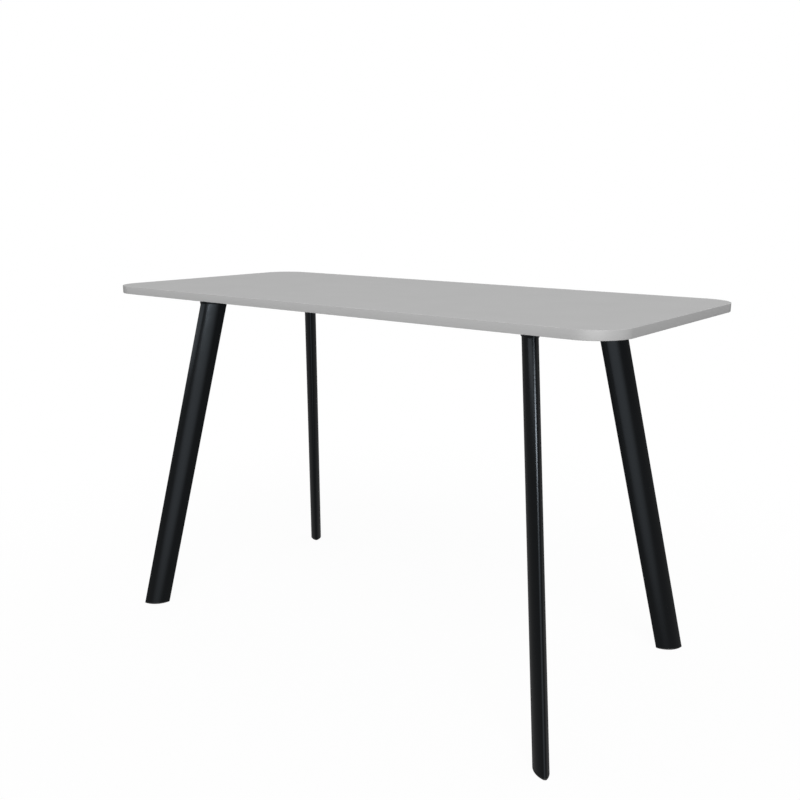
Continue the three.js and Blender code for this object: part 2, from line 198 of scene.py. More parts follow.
def add_lamp(name, azimuth, elevation, distance, size, brightness):
    way = way_to(azimuth, elevation)
    lamp = bpy.data.lights.new(name, "AREA")
    lamp.shape = "RECTANGLE"
    lamp.size, lamp.size_y = size
    lamp.energy = brightness * math.pi * size[0] * size[1]
    holder = bpy.data.objects.new(name, lamp)
    holder.location = LAMP_AIM + way * distance
    holder.rotation_euler = (-way).to_track_quat("-Z", "Y").to_euler()
    scene.collection.objects.link(holder)
    print(f"{name}: {lamp.energy:.0f} W")


add_lamp("front_strip", azimuth=34, elevation=7.5, distance=24, size=(21.0, 3.8), brightness=12.8)
add_lamp("left_strip", azimuth=-38, elevation=3.5, distance=12, size=(10.0, 1.8), brightness=1.1)
add_lamp("back_strip", azimuth=205, elevation=10, distance=12, size=(14.0, 2.5), brightness=1.2)
add_lamp("key_softbox", azimuth=48, elevation=45, distance=24, size=(11.4, 11.4), brightness=5.3)

# %% [markdown]
# ## Floor
# The floor is a plain pale sheet. To the camera it mostly glows, as a photographer's lit backdrop
# does, so that it runs into the white behind it, and the little of it that doesn't glow keeps a
# faint shadow at the feet. Further out it glows fully. To everything but the camera it is dark, and
# it is left out of reflections and shadows, because the black legs mirror a dark room. From below
# it is clear, so that the underside of the table can be looked at.

# %% Floor
FLOOR_HALF = 20.0
FLOOR_GLOW = 0.95
FLOOR_SEEN = 0.9
FLOOR_UNSEEN = 0.08
SHADOW_REACH = (1.2, 2.4)

floor_paper, tree, paper = new_finish("backdrop_paper", {"Roughness": 0.9})
place = add_node(tree, "TexCoord", {}, {}).outputs["Object"]
far = add_node(tree, "VectorMath", {"operation": "LENGTH"}, {0: place})
reach = {"From Min": SHADOW_REACH[0], "From Max": SHADOW_REACH[1], "To Min": FLOOR_GLOW, "To Max": 1.0}
glow = add_node(tree, "MapRange", reach, {"Value": far.outputs["Value"]})
seen = add_node(tree, "LightPath", {}, {}).outputs["Is Camera Ray"]
white = add_node(tree, "MapRange", {"To Min": FLOOR_UNSEEN, "To Max": FLOOR_SEEN}, {"Value": seen})
tree.links.new(white.outputs["Result"], paper.inputs["Base Color"])
share = add_node(tree, "Math", {"operation": "MULTIPLY"}, {0: glow.outputs["Result"], 1: seen})
lit = add_node(tree, "Emission", {"Strength": 1.0}, {})
layers = {0: share.outputs["Value"], 1: paper.outputs["BSDF"], 2: lit.outputs["Emission"]}
both = add_node(tree, "MixShader", {}, layers)
below = add_node(tree, "NewGeometry", {}, {}).outputs["Backfacing"]
clear = add_node(tree, "BsdfTransparent", {}, {})
sides = {0: below, 1: both.outputs["Shader"], 2: clear.outputs["BSDF"]}
paper_face = add_node(tree, "MixShader", {}, sides)
tree.links.new(paper_face.outputs["Shader"], tree.nodes["Material Output"].inputs["Surface"])

shape = bmesh.new()
bmesh.ops.create_grid(shape, x_segments=1, y_segments=1, size=FLOOR_HALF)
floor_mesh = bpy.data.meshes.new("studio_floor")
shape.to_mesh(floor_mesh)
shape.free()
floor_mesh.materials.append(floor_paper)
studio_floor = bpy.data.objects.new("studio_floor", floor_mesh)
studio_floor.visible_glossy = False
studio_floor.visible_shadow = False
scene.collection.objects.link(studio_floor)
studio_floor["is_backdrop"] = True
print("floor of", 2 * FLOOR_HALF, "m")

# %% [markdown]
# ## How a piece is finished
# Every piece is modelled in a bmesh and then goes through the same last steps. Points that lie on
# each other are merged, the faces are turned outwards, and only edges sharper than 30 degrees stay
# crisp in the shading. The piece then rides on a body of the frame, and hides the CAD solids that
# it stands for.

# %% Finishing helpers
SHARP_ANGLE = math.radians(30)
SAME_POINT = 0.002 * MM


def clean(shape):
    bmesh.ops.remove_doubles(shape, verts=shape.verts, dist=SAME_POINT)
    bmesh.ops.recalc_face_normals(shape, faces=shape.faces)


def make_piece(name, shape, finish, body="frame", stands_for=()):
    clean(shape)
    open_edges = sum(not edge.is_manifold for edge in shape.edges)
    mesh = bpy.data.meshes.new(name)
    shape.to_mesh(mesh)
    shape.free()
    mesh.shade_smooth()
    mesh.set_sharp_from_angle(angle=SHARP_ANGLE)
    mesh.materials.append(finish)
    piece = bpy.data.objects.new(name, mesh)
    scene.collection.objects.link(piece)
    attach(piece, body)
    if stands_for:
        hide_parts(*stands_for)
    print(f"{name}: {len(mesh.polygons)} faces, {open_edges} open edges")
    return piece


def points_of(geometry):
    return [part for part in geometry if isinstance(part, bmesh.types.BMVert)]


def thicken(shape, faces, rise):
    grown = bmesh.ops.extrude_face_region(shape, geom=faces)["geom"]
    bmesh.ops.translate(shape, vec=(0, 0, rise), verts=points_of(grown))


def draw_out(shape, face, rise):
    drawn = bmesh.ops.extrude_discrete_faces(shape, faces=[face])["faces"][0]
    bmesh.ops.translate(shape, vec=(0, 0, rise), verts=drawn.verts)
    return drawn


def middle_of(node):
    low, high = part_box(node)
    return (low + high) / 2


print("finishing helpers are ready")

# %% [markdown]
# ## Finish of the top: matt laminate
# High-pressure laminate is printed paper pressed with resin against a textured steel plate. The eye
# sees one even grey, faintly clouded, with a soft sheen that the fine plate texture breaks up. The
# real grain is about 0.3 mm, too fine for this picture, so it is drawn at 1.2 mm.

# %% Laminate finish
LAMINATE_GREY = "#b3b3b3"
LAMINATE_PALE = "#b8b8b8"
LAMINATE_CLOUD_MM = 120
LAMINATE_GRAIN_MM = 1.2

laminate, tree, shader = new_finish("matt_grey_laminate", {"IOR": 1.5, "Specular IOR Level": 0.25})
place = add_node(tree, "TexCoord", {}, {}).outputs["Object"]
cloud = add_node(tree, "TexNoise", {"Scale": per_metre(LAMINATE_CLOUD_MM), "Detail": 3.0}, {"Vector": place})
grain = add_node(tree, "TexNoise", {"Scale": per_metre(LAMINATE_GRAIN_MM), "Detail": 2.0}, {"Vector": place})
grey = add_node(tree, "ValToRGB", {}, {"Fac": cloud.outputs["Fac"]})
tint(grey, LAMINATE_GREY, LAMINATE_PALE)
sheen = add_node(tree, "MapRange", {"To Min": 0.8, "To Max": 0.9}, {"Value": grain.outputs["Fac"]})
press = add_node(tree, "Bump", {"Strength": 0.08, "Distance": 0.05 * MM}, {"Height": grain.outputs["Fac"]})
tree.links.new(grey.outputs["Color"], shader.inputs["Base Color"])
tree.links.new(sheen.outputs["Result"], shader.inputs["Roughness"])
tree.links.new(press.outputs["Normal"], shader.inputs["Normal"])
print("made", laminate.name)

# %% [markdown]
# ## The sheets of the top
# The top is a sandwich: a chipboard core between two sheets of laminate, each 0.8 mm thick. A sheet
# starts as one square face. Bevelling its four corner points rounds them, and a profile of 0.5 makes
# the round a true arc. An extrusion then gives the sheet its thickness.

# %% Round-cornered faces
CORNER_STEPS = 24
TOP_CORNER_RADIUS = 100 * MM
band_low, band_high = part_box("edge_band")
top_length, top_width, top_thickness = band_high - band_low


def round_cornered_face(shape, length, width, radius, steps):
    known = set(shape.faces)
    corners = bmesh.ops.create_grid(shape, x_segments=1, y_segments=1, size=0.5)["verts"]
    bmesh.ops.scale(shape, vec=(length, width, 1), verts=corners)
    bmesh.ops.bevel(
        shape, geom=corners, affect="VERTICES", offset=radius, segments=steps, profile=0.5, material=-1
    )
    return [face for face in shape.faces if face not in known]


print(f"top of {top_length:.3f} by {top_width:.3f} by {top_thickness:.4f} m")


# %% Sheet of laminate
def laminate_sheet(node):
    low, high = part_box(node)
    inset = band_high.x - high.x
    shape = bmesh.new()
    face = round_cornered_face(
        shape, top_length - 2 * inset, top_width - 2 * inset, TOP_CORNER_RADIUS - inset, CORNER_STEPS
    )
    thicken(shape, face, high.z - low.z)
    bmesh.ops.translate(shape, vec=(0, 0, low.z), verts=shape.verts)
    return shape


make_piece("worktop_sheet", laminate_sheet("top_laminate"), laminate, stands_for=["top_laminate"])

# %% [markdown]
# The sheet underneath has eight holes, where screws come up through it from the rails. A hole is
# drilled the way a workshop drills it, after the plate is made: a Boolean modifier takes a round
# tool away from the plate. The modifier's result is read back into a bmesh, and the plate and the
# tool that it worked on are thrown away.

# %% Drilling helpers
DRILL_STEPS = 32
DRILL_PAST = 1 * MM


def workshop_object(name, shape):
    clean(shape)
    mesh = bpy.data.meshes.new(name)
    shape.to_mesh(mesh)
    shape.free()
    made = bpy.data.objects.new(name, mesh)
    scene.collection.objects.link(made)
    return made


def cut(shape, tool):
    blank = workshop_object("blank", shape)
    cutter = workshop_object("cutter", tool)
    boolean = blank.modifiers.new("cut", "BOOLEAN")
    boolean.operation = "DIFFERENCE"
    boolean.solver = "EXACT"
    boolean.object = cutter
    result = bmesh.new()
    result.from_object(blank, bpy.context.evaluated_depsgraph_get())
    for used in (blank, cutter):
        bpy.data.meshes.remove(used.data)
    return result


def drill(shape, centres, radius, low, high):
    tool = bmesh.new()
    for centre in centres:
        place = Matrix.Translation((centre.x, centre.y, (low + high) / 2))
        bmesh.ops.create_cone(
            tool,
            cap_ends=True,
            segments=DRILL_STEPS,
            radius1=radius,
            radius2=radius,
            depth=high - low + 2 * DRILL_PAST,
            matrix=place,
        )
    return cut(shape, tool)


print("drill with", DRILL_STEPS, "sides")

# %% Underside sheet
SCREW_HOLE_RADIUS = 2.8 * MM
SCREW_NODES = sorted(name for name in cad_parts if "_screw_" in name)

low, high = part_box("backing_laminate")
screw_places = [middle_of(name) for name in SCREW_NODES]
sheet = drill(laminate_sheet("backing_laminate"), screw_places, SCREW_HOLE_RADIUS, low.z, high.z)
make_piece("underside_sheet", sheet, laminate, stands_for=["backing_laminate"])

# %% [markdown]
# ## Finish of the core: chipboard
# The board inside the top is chipboard: wood chips of 1 to 4 mm, pressed with glue. Each chip has a
# tone of its own, so a Voronoi texture, which gives every cell one random colour, is the natural
# pattern. The board is closed in on all sides, so the CAD solid stays and only gets this finish.

# %% Chipboard
CHIP_DARK = "#8a6a43"
CHIP_PALE = "#c9a77a"
CHIP_MM = 3.0

chipboard, tree, shader = new_finish("raw_chipboard", {"Roughness": 0.9, "IOR": 1.4})
place = add_node(tree, "TexCoord", {}, {}).outputs["Object"]
chips = add_node(tree, "TexVoronoi", {"Scale": per_metre(CHIP_MM)}, {"Vector": place})
tone = add_node(tree, "ValToRGB", {}, {"Fac": chips.outputs["Color"]})
tint(tone, CHIP_DARK, CHIP_PALE)
press = add_node(tree, "Bump", {"Strength": 0.3, "Distance": 0.3 * MM}, {"Height": chips.outputs["Distance"]})
tree.links.new(tone.outputs["Color"], shader.inputs["Base Color"])
tree.links.new(press.outputs["Normal"], shader.inputs["Normal"])


def refinish(node, finish):
    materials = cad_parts[node].data.materials
    materials.clear()
    materials.append(finish)


refinish("top_core", chipboard)
print("core in", chipboard.name)

# %% [markdown]
# ## Finish of the edge: extruded ABS
# The edge band is a strip of ABS, extruded through a slot and trimmed with a round cutter once it is
# glued on. The slot leaves faint lines along the strip, which means lines at a constant height all
# the way round the table. So the pattern is stretched until it changes with height alone.

# %% Edging finish
EDGING_GREY = "#aaaaaa"
EDGING_PALE = "#b0b0b0"
DRAW_LINE_MM = 1.5

edging, tree, shader = new_finish("extruded_grey_abs", {"Roughness": 0.45, "IOR": 1.5})
place = add_node(tree, "TexCoord", {}, {}).outputs["Object"]
level = add_node(tree, "Mapping", {"Scale": (0.5, 0.5, per_metre(DRAW_LINE_MM))}, {"Vector": place})
lines = add_node(tree, "TexNoise", {"Scale": 1.0, "Detail": 2.0}, {"Vector": level.outputs["Vector"]})
grey = add_node(tree, "ValToRGB", {}, {"Fac": lines.outputs["Fac"]})
tint(grey, EDGING_GREY, EDGING_PALE)
draw = add_node(tree, "Bump", {"Strength": 0.1, "Distance": 0.05 * MM}, {"Height": lines.outputs["Fac"]})
tree.links.new(grey.outputs["Color"], shader.inputs["Base Color"])
tree.links.new(draw.outputs["Normal"], shader.inputs["Normal"])
print("made", edging.name)

# %% [markdown]
# ## The edge band
# The band is 3 mm thick, as deep as the board, and its two arrises are rounded to 1 mm so that an
# arm can rest on them. It starts as a solid slab: bevelling the rims of both caps rounds the
# arrises. Each cap is then inset by what is left of the band and taken out, and bridging the two
# rims that remain makes the inner wall. One bevel rounds straight sides and corners alike.

# %% Edge band
BAND_THICKNESS = 3 * MM
ARRIS_RADIUS = 1 * MM
ARRIS_STEPS = 6

shape = bmesh.new()
slab = round_cornered_face(shape, top_length, top_width, TOP_CORNER_RADIUS, CORNER_STEPS)
thicken(shape, slab, top_thickness)
clean(shape)
caps = [face for face in shape.faces if abs(face.normal.z) > 0.5]
rims = [edge for face in caps for edge in face.edges]
bmesh.ops.bevel(
    shape, geom=rims, affect="EDGES", offset=ARRIS_RADIUS, segments=ARRIS_STEPS, profile=0.5, material=-1
)
caps = sorted(shape.faces, key=lambda face: face.calc_area())[-2:]
bmesh.ops.inset_region(shape, faces=caps, thickness=BAND_THICKNESS - ARRIS_RADIUS, use_even_offset=True)
bmesh.ops.delete(shape, geom=caps, context="FACES")
bmesh.ops.bridge_loops(shape, edges=[edge for edge in shape.edges if edge.is_boundary])
bmesh.ops.translate(shape, vec=(0, 0, band_low.z), verts=shape.verts)
make_piece("edge_strip", shape, edging, stands_for=["edge_band"])

# %% [markdown]
# ## Finish of the steel: black powder coat
# Powder coat is plastic dust that is sprayed on dry and melted in an oven. It flows into a skin with
# a fine orange peel and a satin sheen, deep black with a cold, slightly blue glint. The peel is
# about 1.5 mm from crest to crest, and how well the skin flowed varies over a few centimetres.

# %% Powder coat
COAT_BLACK = "#090909"
COAT_GLINT = "#e4f2ff"
COAT_PEEL_MM = 1.5
COAT_FLOW_MM = 40

coat, tree, shader = new_finish(
    "black_powder_coat",
    {"Base Color": linear(COAT_BLACK), "IOR": 1.5, "Specular Tint": linear(COAT_GLINT)},
)
place = add_node(tree, "TexCoord", {}, {}).outputs["Object"]
flow = add_node(tree, "TexNoise", {"Scale": per_metre(COAT_FLOW_MM), "Detail": 4.0}, {"Vector": place})
peel = add_node(tree, "TexNoise", {"Scale": per_metre(COAT_PEEL_MM), "Detail": 1.0}, {"Vector": place})
sheen = add_node(tree, "MapRange", {"To Min": 0.18, "To Max": 0.26}, {"Value": flow.outputs["Fac"]})
skin = add_node(tree, "Bump", {"Strength": 0.03, "Distance": 0.1 * MM}, {"Height": peel.outputs["Fac"]})
tree.links.new(sheen.outputs["Result"], shader.inputs["Roughness"])
tree.links.new(skin.outputs["Normal"], shader.inputs["Normal"])
print("made", coat.name)

# %% [markdown]
# ## Where the legs stand
# The four legs are alike and lean outwards along the diagonals. So a leg's pieces are modelled once,
# upright, with X pointing outwards. They are then leaned over by a shear, which keeps level cuts
# level, turned by 45 degrees, and moved to the corner at the rear right. A scale of -1 mirrors them
# to the other corners. The sizes come from the frame: the foot is under the glide, and the head is
# in line with the bolts.

# %% Corners and lean
CORNERS = {"front_left": (-1, -1), "front_right": (1, -1), "rear_left": (-1, 1), "rear_right": (1, 1)}
tube_low, tube_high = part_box("leg_tube_rear_right")
foot = middle_of("glide_pad_rear_right")
foot.z = 0
drift = foot.x - middle_of("leg_bolt_near_rear_right").x
head = Vector((foot.x - drift, foot.y - drift, tube_high.z))
slope = drift * math.sqrt(2) / tube_high.z
stretch = math.hypot(1, slope)


def lean_over(shape):
    bmesh.ops.scale(shape, vec=(stretch, 1, 1), verts=shape.verts)
    bmesh.ops.transform(shape, matrix=Matrix.Shear("XY", 4, (-slope, 0)), verts=shape.verts)


def at_corner(shape, corner):
    moved = shape.copy()
    bmesh.ops.scale(moved, vec=(*CORNERS[corner], 1), verts=moved.verts)
    return moved


def stand(shape):
    bmesh.ops.rotate(shape, cent=(0, 0, 0), matrix=Matrix.Rotation(math.pi / 4, 3, "Z"), verts=shape.verts)
    bmesh.ops.translate(shape, vec=foot, verts=shape.verts)


print(f"legs lean by {math.degrees(math.atan(slope)):.1f} degrees")

# %% [markdown]
# ## The leg tubes
# The tube is a pointed oval, 82 by 40 mm: two long flat arcs run into two small end arcs. Spinning one
# point about four centres in turn draws exactly that. An outer and an inner ring are bridged into
# the end of the wall, which is extruded up to the plate under the rail. A small bevel at the lower
# end leaves the fine groove that shows above the plastic foot.

# %% Oval rings
LEG_LONG = 82 * MM
LEG_SHORT = 40 * MM
LEG_END_RADIUS = 7 * MM
LEG_WALL = 2 * MM
END_STEPS = 12
SIDE_STEPS = 36


def oval_ring(shape, offset, z):
    end_radius = LEG_END_RADIUS + offset
    end_x = LEG_LONG / 2 - LEG_END_RADIUS
    slack = LEG_SHORT / 2 - LEG_END_RADIUS
    side_radius = end_radius + (end_x**2 + slack**2) / (2 * slack)
    side_y = side_radius - LEG_SHORT / 2 - offset
    blend = math.atan2(side_y, end_x)
    known = set(shape.edges)
    first = shape.verts.new((end_x + end_radius * math.cos(blend), -end_radius * math.sin(blend), z))
    last = first
    for centre_x, centre_y, turn, steps in (
        (end_x, 0, 2 * blend, END_STEPS),
        (0, -side_y, math.pi - 2 * blend, SIDE_STEPS),
        (-end_x, 0, 2 * blend, END_STEPS),
        (0, side_y, math.pi - 2 * blend, SIDE_STEPS),
    ):
        arc = bmesh.ops.spin(
            shape, geom=[last], cent=(centre_x, centre_y, z), axis=(0, 0, 1), angle=turn, steps=steps
        )
        last = points_of(arc["geom_last"])[0]
    bmesh.ops.remove_doubles(shape, verts=[first, last], dist=SAME_POINT)
    return [edge for edge in shape.edges if edge not in known]


print("an oval ring has", 2 * (END_STEPS + SIDE_STEPS), "points")

# %% Leg tubes
SEAM_BEVEL = 0.4 * MM


def crisp_edges(shape, z):
    level = [edge for edge in shape.edges if all(abs(point.co.z - z) < SAME_POINT for point in edge.verts)]
    return [edge for edge in level if edge.calc_face_angle(0) > math.radians(45)]


def ease(shape, z, size, steps):
    clean(shape)
    bmesh.ops.bevel(
        shape,
        geom=crisp_edges(shape, z),
        affect="EDGES",
        offset=size,
        segments=steps,
        profile=0.5,
        material=-1,
    )


shape = bmesh.new()
rims = oval_ring(shape, 0, tube_low.z) + oval_ring(shape, -LEG_WALL, tube_low.z)
wall = bmesh.ops.bridge_loops(shape, edges=rims)["faces"]
thicken(shape, wall, tube_high.z - tube_low.z)
ease(shape, tube_low.z, SEAM_BEVEL, 2)
lean_over(shape)
stand(shape)
for corner in CORNERS:
    leg = at_corner(shape, corner)
    make_piece(f"oval_leg_{corner}", leg, coat, stands_for=[f"leg_tube_{corner}"])

# %% [markdown]
# ## The weld at the head of each leg
# A weld bead runs round the leg where it meets its plate. It is a small bulging fillet with a ripple
# for each pulse of the torch, softened by the coat over it. Rings that go round a quarter circle are
# bridged one to the next, and every second point is pushed out a little for the ripples.

# %% Leg welds
BEAD_SIZE = 2 * MM
BEAD_RINGS = 5
RIPPLE = 1.006

shape = bmesh.new()
rings = []
for step in range(BEAD_RINGS):
    angle = math.pi / 2 * step / (BEAD_RINGS - 1)
    rings.append(oval_ring(shape, BEAD_SIZE * math.sin(angle), head.z - BEAD_SIZE * math.cos(angle)))
rings.append(oval_ring(shape, -LEG_WALL / 2, head.z - BEAD_SIZE / 2))
crests = [point for ring in rings[1:-2] for edge in ring[::2] for point in edge.verts[:1]]
bmesh.ops.scale(shape, vec=(RIPPLE, RIPPLE, 1), verts=list(dict.fromkeys(crests)))
for ring, following in zip(rings, rings[1:] + rings[:1]):
    bmesh.ops.bridge_loops(shape, edges=ring + following)
lean_over(shape)
stand(shape)
for corner in CORNERS:
    make_piece(f"leg_weld_{corner}", at_corner(shape, corner), coat)

# %% [markdown]
# ## The plate at the head of each leg
# Each leg ends in a steel plate, cut by laser from 5 mm sheet: an oval 2 mm wider than the leg, with
# a tongue that runs in under the rail and takes two bolts. The oval is filled as one face and cut at
# the tongue's two sides. The piece of its rim between the cuts is extruded and flattened to the
# straight end of the tongue.

# %% Plate outline
PLATE_MARGIN = 2 * MM
TONGUE_WIDTH = 40 * MM
TONGUE_REACH = 104 * MM
TONGUE_CORNER = 8 * MM
plate_low, plate_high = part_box("leg_flange_rear_right")

shape = bmesh.new()
rim = oval_ring(shape, PLATE_MARGIN, 0)
bmesh.ops.contextual_create(shape, geom=rim)
bmesh.ops.scale(shape, vec=(stretch, 1, 1), verts=shape.verts)
bmesh.ops.rotate(shape, cent=(0, 0, 0), matrix=Matrix.Rotation(math.pi / 4, 3, "Z"), verts=shape.verts)
for side in (-TONGUE_WIDTH / 2, TONGUE_WIDTH / 2):
    everything = shape.verts[:] + shape.edges[:] + shape.faces[:]
    bmesh.ops.bisect_plane(shape, geom=everything, plane_co=(side, 0, 0), plane_no=(1, 0, 0))
half = TONGUE_WIDTH / 2 + SAME_POINT
inner = [edge for edge in shape.edges if edge.is_boundary and all(abs(p.co.x) < half for p in edge.verts)]
inner = [edge for edge in inner if sum(point.co.y for point in edge.verts) < 0]
tip = points_of(bmesh.ops.extrude_edge_only(shape, edges=inner)["geom"])
bmesh.ops.scale(shape, vec=(1, 0, 1), verts=tip)
bmesh.ops.translate(shape, vec=(0, -TONGUE_REACH, 0), verts=tip)
print("plate outline has", sum(edge.is_boundary for edge in shape.edges), "edges")

# %% Leg plates
PLATE_EASE = 0.6 * MM
BOLT_HOLE_RADIUS = 4.3 * MM

bmesh.ops.dissolve_faces(shape, faces=shape.faces)
tip = [point for point in shape.verts if point.co.y < SAME_POINT - TONGUE_REACH]
tip_corners = [point for point in tip if abs(point.co.x) > TONGUE_WIDTH / 2 - SAME_POINT]
bmesh.ops.dissolve_verts(shape, verts=[point for point in tip if point not in tip_corners])
bmesh.ops.bevel(
    shape, geom=tip_corners, affect="VERTICES", offset=TONGUE_CORNER, segments=8, profile=0.5, material=-1
)
bmesh.ops.translate(shape, vec=head, verts=shape.verts)
thicken(shape, shape.faces[:], plate_high.z - plate_low.z)
ease(shape, plate_low.z, PLATE_EASE, 3)
bolt_places = [middle_of(f"leg_bolt_{row}_rear_right") for row in ("near", "far")]
shape = drill(shape, bolt_places, BOLT_HOLE_RADIUS, plate_low.z, plate_high.z)
for corner in CORNERS:
    plate = at_corner(shape, corner)
    make_piece(f"leg_plate_{corner}", plate, coat, stands_for=[f"leg_flange_{corner}"])

# %% [markdown]
# ## The rails
# Two cross rails carry the legs and two long rails join them, all of rectangular tube, 50 by 25 mm,
# with rolled corners. A round-cornered face gives each rim of the tube's end, the two rims are
# bridged, and the ring that this makes is extruded to the length of the rail. Clearance holes for
# the screws and bolts are drilled last.

# %% Rail tubes
RAIL_CORNER = 3 * MM
RAIL_WALL = 2 * MM


def rail_tube(width, height, length):
    shape = bmesh.new()
    faces = round_cornered_face(shape, width, height, RAIL_CORNER, 6)
    bore = 2 * RAIL_WALL
    faces += round_cornered_face(shape, width - bore, height - bore, RAIL_CORNER - RAIL_WALL, 6)
    bmesh.ops.delete(shape, geom=faces, context="FACES_ONLY")
    ring = bmesh.ops.bridge_loops(shape, edges=shape.edges)["faces"]
    thicken(shape, ring, length)
    bmesh.ops.translate(shape, vec=(0, 0, -length / 2), verts=shape.verts)
    bmesh.ops.rotate(shape, cent=(0, 0, 0), matrix=Matrix.Rotation(math.pi / 2, 3, "X"), verts=shape.verts)
    return shape


def rail(node):
    low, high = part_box(node)
    size = high - low
    shape = rail_tube(min(size.x, size.y), size.z, max(size.x, size.y))
    if size.x > size.y:
        turn = Matrix.Rotation(math.pi / 2, 3, "Z")
        bmesh.ops.rotate(shape, cent=(0, 0, 0), matrix=turn, verts=shape.verts)
    bmesh.ops.translate(shape, vec=(low + high) / 2, verts=shape.verts)
    screws = [place for place in screw_places if low.x < place.x < high.x and low.y < place.y < high.y]
    return drill(shape, screws, SCREW_HOLE_RADIUS, low.z, high.z)


for side in ("front", "rear"):
    node = f"long_rail_{side}"
    make_piece(f"long_bar_{side}", rail(node), coat, stands_for=[node])

# %% [markdown]
# The bolts of the leg plates go into the lower wall of the cross rails. A wall of 2 mm is too thin for
# a thread, so the hole is flow-drilled: a hot spinning point pushes the steel up into a collar. The
# collar is a small turned ring. A few points draw its section, and a full spin makes it round.

# %% Cross rails
TURN_STEPS = 48
COLLAR_WALL = 2.5 * MM
COLLAR_HEIGHT = 4 * MM


def lathe(shape, section, centre, closed=False):
    points = [shape.verts.new((centre.x + radius, centre.y, z)) for radius, z in section]
    pairs = list(zip(points, points[1:] + points[:1]))
    edges = [shape.edges.new(pair) for pair in (pairs if closed else pairs[:-1])]
    bmesh.ops.spin(
        shape,
        geom=points + edges,
        cent=(centre.x, centre.y, 0),
        axis=(0, 0, 1),
        angle=2 * math.pi,
        steps=TURN_STEPS,
        use_merge=True,
    )


def cross_rail(side):
    node = f"cross_rail_{side}"
    low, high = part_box(node)
    corners = [corner for corner in CORNERS if corner.endswith(side)]
    bolts = [middle_of(f"leg_bolt_{row}_{corner}") for row in ("near", "far") for corner in corners]
    floor = low.z + RAIL_WALL
    shape = drill(rail(node), bolts, BOLT_HOLE_RADIUS, low.z, floor)
    outside = BOLT_HOLE_RADIUS + COLLAR_WALL
    top = floor + COLLAR_HEIGHT
    section = [(BOLT_HOLE_RADIUS, floor), (outside, floor), (outside, top), (BOLT_HOLE_RADIUS, top)]
    for bolt in bolts:
        lathe(shape, section, bolt, closed=True)
    return shape


for side in ("left", "right"):
    node = f"cross_rail_{side}"
    make_piece(f"cross_bar_{side}", cross_rail(side), coat, stands_for=[node])

# %% [markdown]
# The long rails are welded to the cross rails along the upright corners between them. Each weld is a
# rippled rod, lying in its corner, so that a quarter of it shows. It grows from a disc, one ripple
# at a time, and every second step is drawn in.

# %% Rail welds
ROD_RADIUS = 3.2 * MM
ROD_RIPPLES = 12
ROD_MARGIN = 2 * MM
ROD_PULL = 0.86


def weld_rod(shape, place, low, high):
    disc = bmesh.ops.create_circle(
        shape, cap_ends=True, segments=16, radius=ROD_RADIUS, matrix=Matrix.Translation((*place, low))
    )
    face = disc["verts"][0].link_faces[0]
    about = Matrix.Translation((-place[0], -place[1], 0))
    for step in range(ROD_RIPPLES):
        face = draw_out(shape, face, (high - low) / ROD_RIPPLES)
        pull = ROD_PULL if step % 2 == 0 else 1 / ROD_PULL
        bmesh.ops.scale(shape, vec=(pull, pull, 1), verts=face.verts, space=about)


shape = bmesh.new()
for side in ("front", "rear"):
    low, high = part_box(f"long_rail_{side}")
    for place in ((low.x, low.y), (low.x, high.y), (high.x, low.y), (high.x, high.y)):
        weld_rod(shape, place, low.z + ROD_MARGIN, high.z - ROD_MARGIN)
bmesh.ops.holes_fill(shape, edges=[edge for edge in shape.edges if edge.is_boundary], sides=0)
make_piece("rail_welds", shape, coat)

# %% [markdown]
# ## Finish of the plastic: moulded nylon
# The feet and end caps are black nylon from a mould whose steel was spark-eroded to a fine, even
# roughness. That leaves a duller black than the coat on the steel, with no glint. The grit of the
# mould is about 0.2 mm, and is drawn at 0.8 mm so that a close view shows it.

# %% Nylon
NYLON_BLACK = "#0f0f0f"
NYLON_GREY = "#181818"
NYLON_GRIT_MM = 0.8

nylon, tree, shader = new_finish("moulded_black_nylon", {"Roughness": 0.58, "IOR": 1.53})
place = add_node(tree, "TexCoord", {}, {}).outputs["Object"]
grit = add_node(tree, "TexNoise", {"Scale": per_metre(NYLON_GRIT_MM), "Detail": 3.0}, {"Vector": place})
black = add_node(tree, "ValToRGB", {}, {"Fac": grit.outputs["Fac"]})
tint(black, NYLON_BLACK, NYLON_GREY)
mould = add_node(tree, "Bump", {"Strength": 0.25, "Distance": 0.08 * MM}, {"Height": grit.outputs["Fac"]})
tree.links.new(black.outputs["Color"], shader.inputs["Base Color"])
tree.links.new(mould.outputs["Normal"], shader.inputs["Normal"])
print("made", nylon.name)

# %% [markdown]
# ## End caps of the cross rails
# A moulded cap closes each end of a cross rail, with a plug that grips inside the tube. Its face
# starts as the same round-cornered face as the tube. The back of the face is inset by the wall
# and extruded for the plug, and the front rim is bevelled so that it doesn't snag.

# %% Rail caps
CAP_EASE = 1 * MM
CAP_CLEARANCE = 0.3 * MM
CAP_PLUG = 12 * MM

